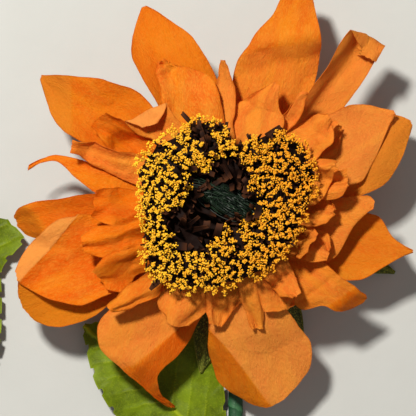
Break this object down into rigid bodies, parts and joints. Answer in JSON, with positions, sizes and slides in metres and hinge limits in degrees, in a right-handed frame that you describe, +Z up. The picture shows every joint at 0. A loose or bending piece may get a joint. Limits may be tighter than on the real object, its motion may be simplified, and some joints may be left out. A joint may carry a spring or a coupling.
{
  "type": "paper flower",
  "caption": "Handmade crepe paper sunflower with folded orange petals, a fringed dark middle tipped with yellow crumbs, green leaves and a wrapped wire stem, lying face up.",
  "frame": {"origin": "centre of the wire's cut end, at the foot of the stem", "axes": "+Y along the stem towards the head, +Z up out of the flower's face as it lies on its back, +X to the right as the face is seen with the stem below"},
  "size_m": [0.1803, 0.2823, 0.0607],
  "materials": {
    "petal_paper": "matte orange crepe paper, a little translucent",
    "fringe_paper": "matte dark brown paper",
    "pollen": "dry yellow crumbs",
    "tuft_fibre": "dark green fibre",
    "bract_paper": "matte dark olive paper",
    "leaf_paper": "satin green paper",
    "stem_paper": "satin dark green paper tape",
    "wire": "plain drawn wire, cut square"
  },
  "bodies": {
    "root": {"stem_wrap": "stem_paper", "stem_wire": "wire", "calyx_ring": "stem_paper", "leaf_lower": "leaf_paper", "leaf_lower_stalk": "stem_paper", "leaf_left": "leaf_paper", "leaf_left_stalk": "stem_paper", "bract_1": "bract_paper", "bract_2": "bract_paper", "bract_3": "bract_paper", "bract_4": "bract_paper", "bract_5": "bract_paper", "bract_6": "bract_paper", "bract_7": "bract_paper", "bract_8": "bract_paper", "petal_left_top": "petal_paper", "petal_top_left": "petal_paper", "petal_top": "petal_paper", "petal_scroll": "petal_paper", "petal_right_top_back": "petal_paper", "petal_right_top": "petal_paper", "petal_right_low": "petal_paper", "petal_right": "petal_paper", "petal_lower_right": "petal_paper", "petal_bottom": "petal_paper", "petal_left_low_back": "petal_paper", "petal_left": "petal_paper", "petal_left_low": "petal_paper", "petal_lower_left": "petal_paper", "petal_left_hook": "petal_paper", "ruffle_left_top": "petal_paper", "ruffle_left_high": "petal_paper", "ruffle_left": "petal_paper", "ruffle_left_low": "petal_paper", "ruffle_lower_left": "petal_paper", "ruffle_lower_left_low": "petal_paper", "ruffle_bottom_left": "petal_paper", "ruffle_bottom": "petal_paper", "ruffle_bottom_strip": "petal_paper", "ruffle_bottom_right": "petal_paper", "ruffle_lower_right": "petal_paper", "ruffle_right_low_back": "petal_paper", "ruffle_right_low": "petal_paper", "ruffle_right": "petal_paper", "ruffle_right_back": "petal_paper", "ruffle_right_high": "petal_paper", "ruffle_right_mid": "petal_paper", "ruffle_upper_right": "petal_paper", "ruffle_top_right": "petal_paper", "ruffle_top": "petal_paper", "ruffle_top_point": "petal_paper", "ruffle_top_left": "petal_paper", "ruffle_fold": "petal_paper", "fringe_roll": "fringe_paper", "pollen_upper_right": "pollen", "pollen_upper_left": "pollen", "pollen_left": "pollen", "pollen_lower_left": "pollen", "pollen_lower_right": "pollen", "core_tuft": "tuft_fibre"}
  },
  "joints": []
}
